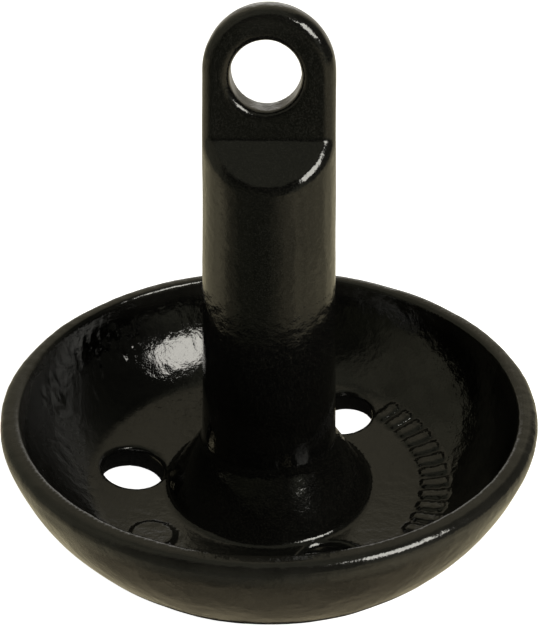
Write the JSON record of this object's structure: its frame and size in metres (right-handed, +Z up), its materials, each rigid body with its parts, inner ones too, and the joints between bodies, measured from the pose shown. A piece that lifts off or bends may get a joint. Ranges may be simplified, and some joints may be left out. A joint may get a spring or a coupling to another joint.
{
  "type": "mushroom anchor",
  "caption": "Vinyl-coated cast-iron mushroom anchor: a dished bowl with drain holes, a tapered shank and a flattened eye for a shackle or rope.",
  "frame": {"origin": "centre of the small flat on the underside of the bowl, where the anchor stands", "axes": "+Z up the shank to the eye, Y along the eye's bore, X across the tab"},
  "size_m": [0.194, 0.194, 0.1935],
  "materials": {
    "casting": "rough sand-cast",
    "coating": "glossy dipped vinyl"
  },
  "bodies": {
    "root": {"iron_casting": "casting", "vinyl_coating": "coating"}
  },
  "joints": []
}
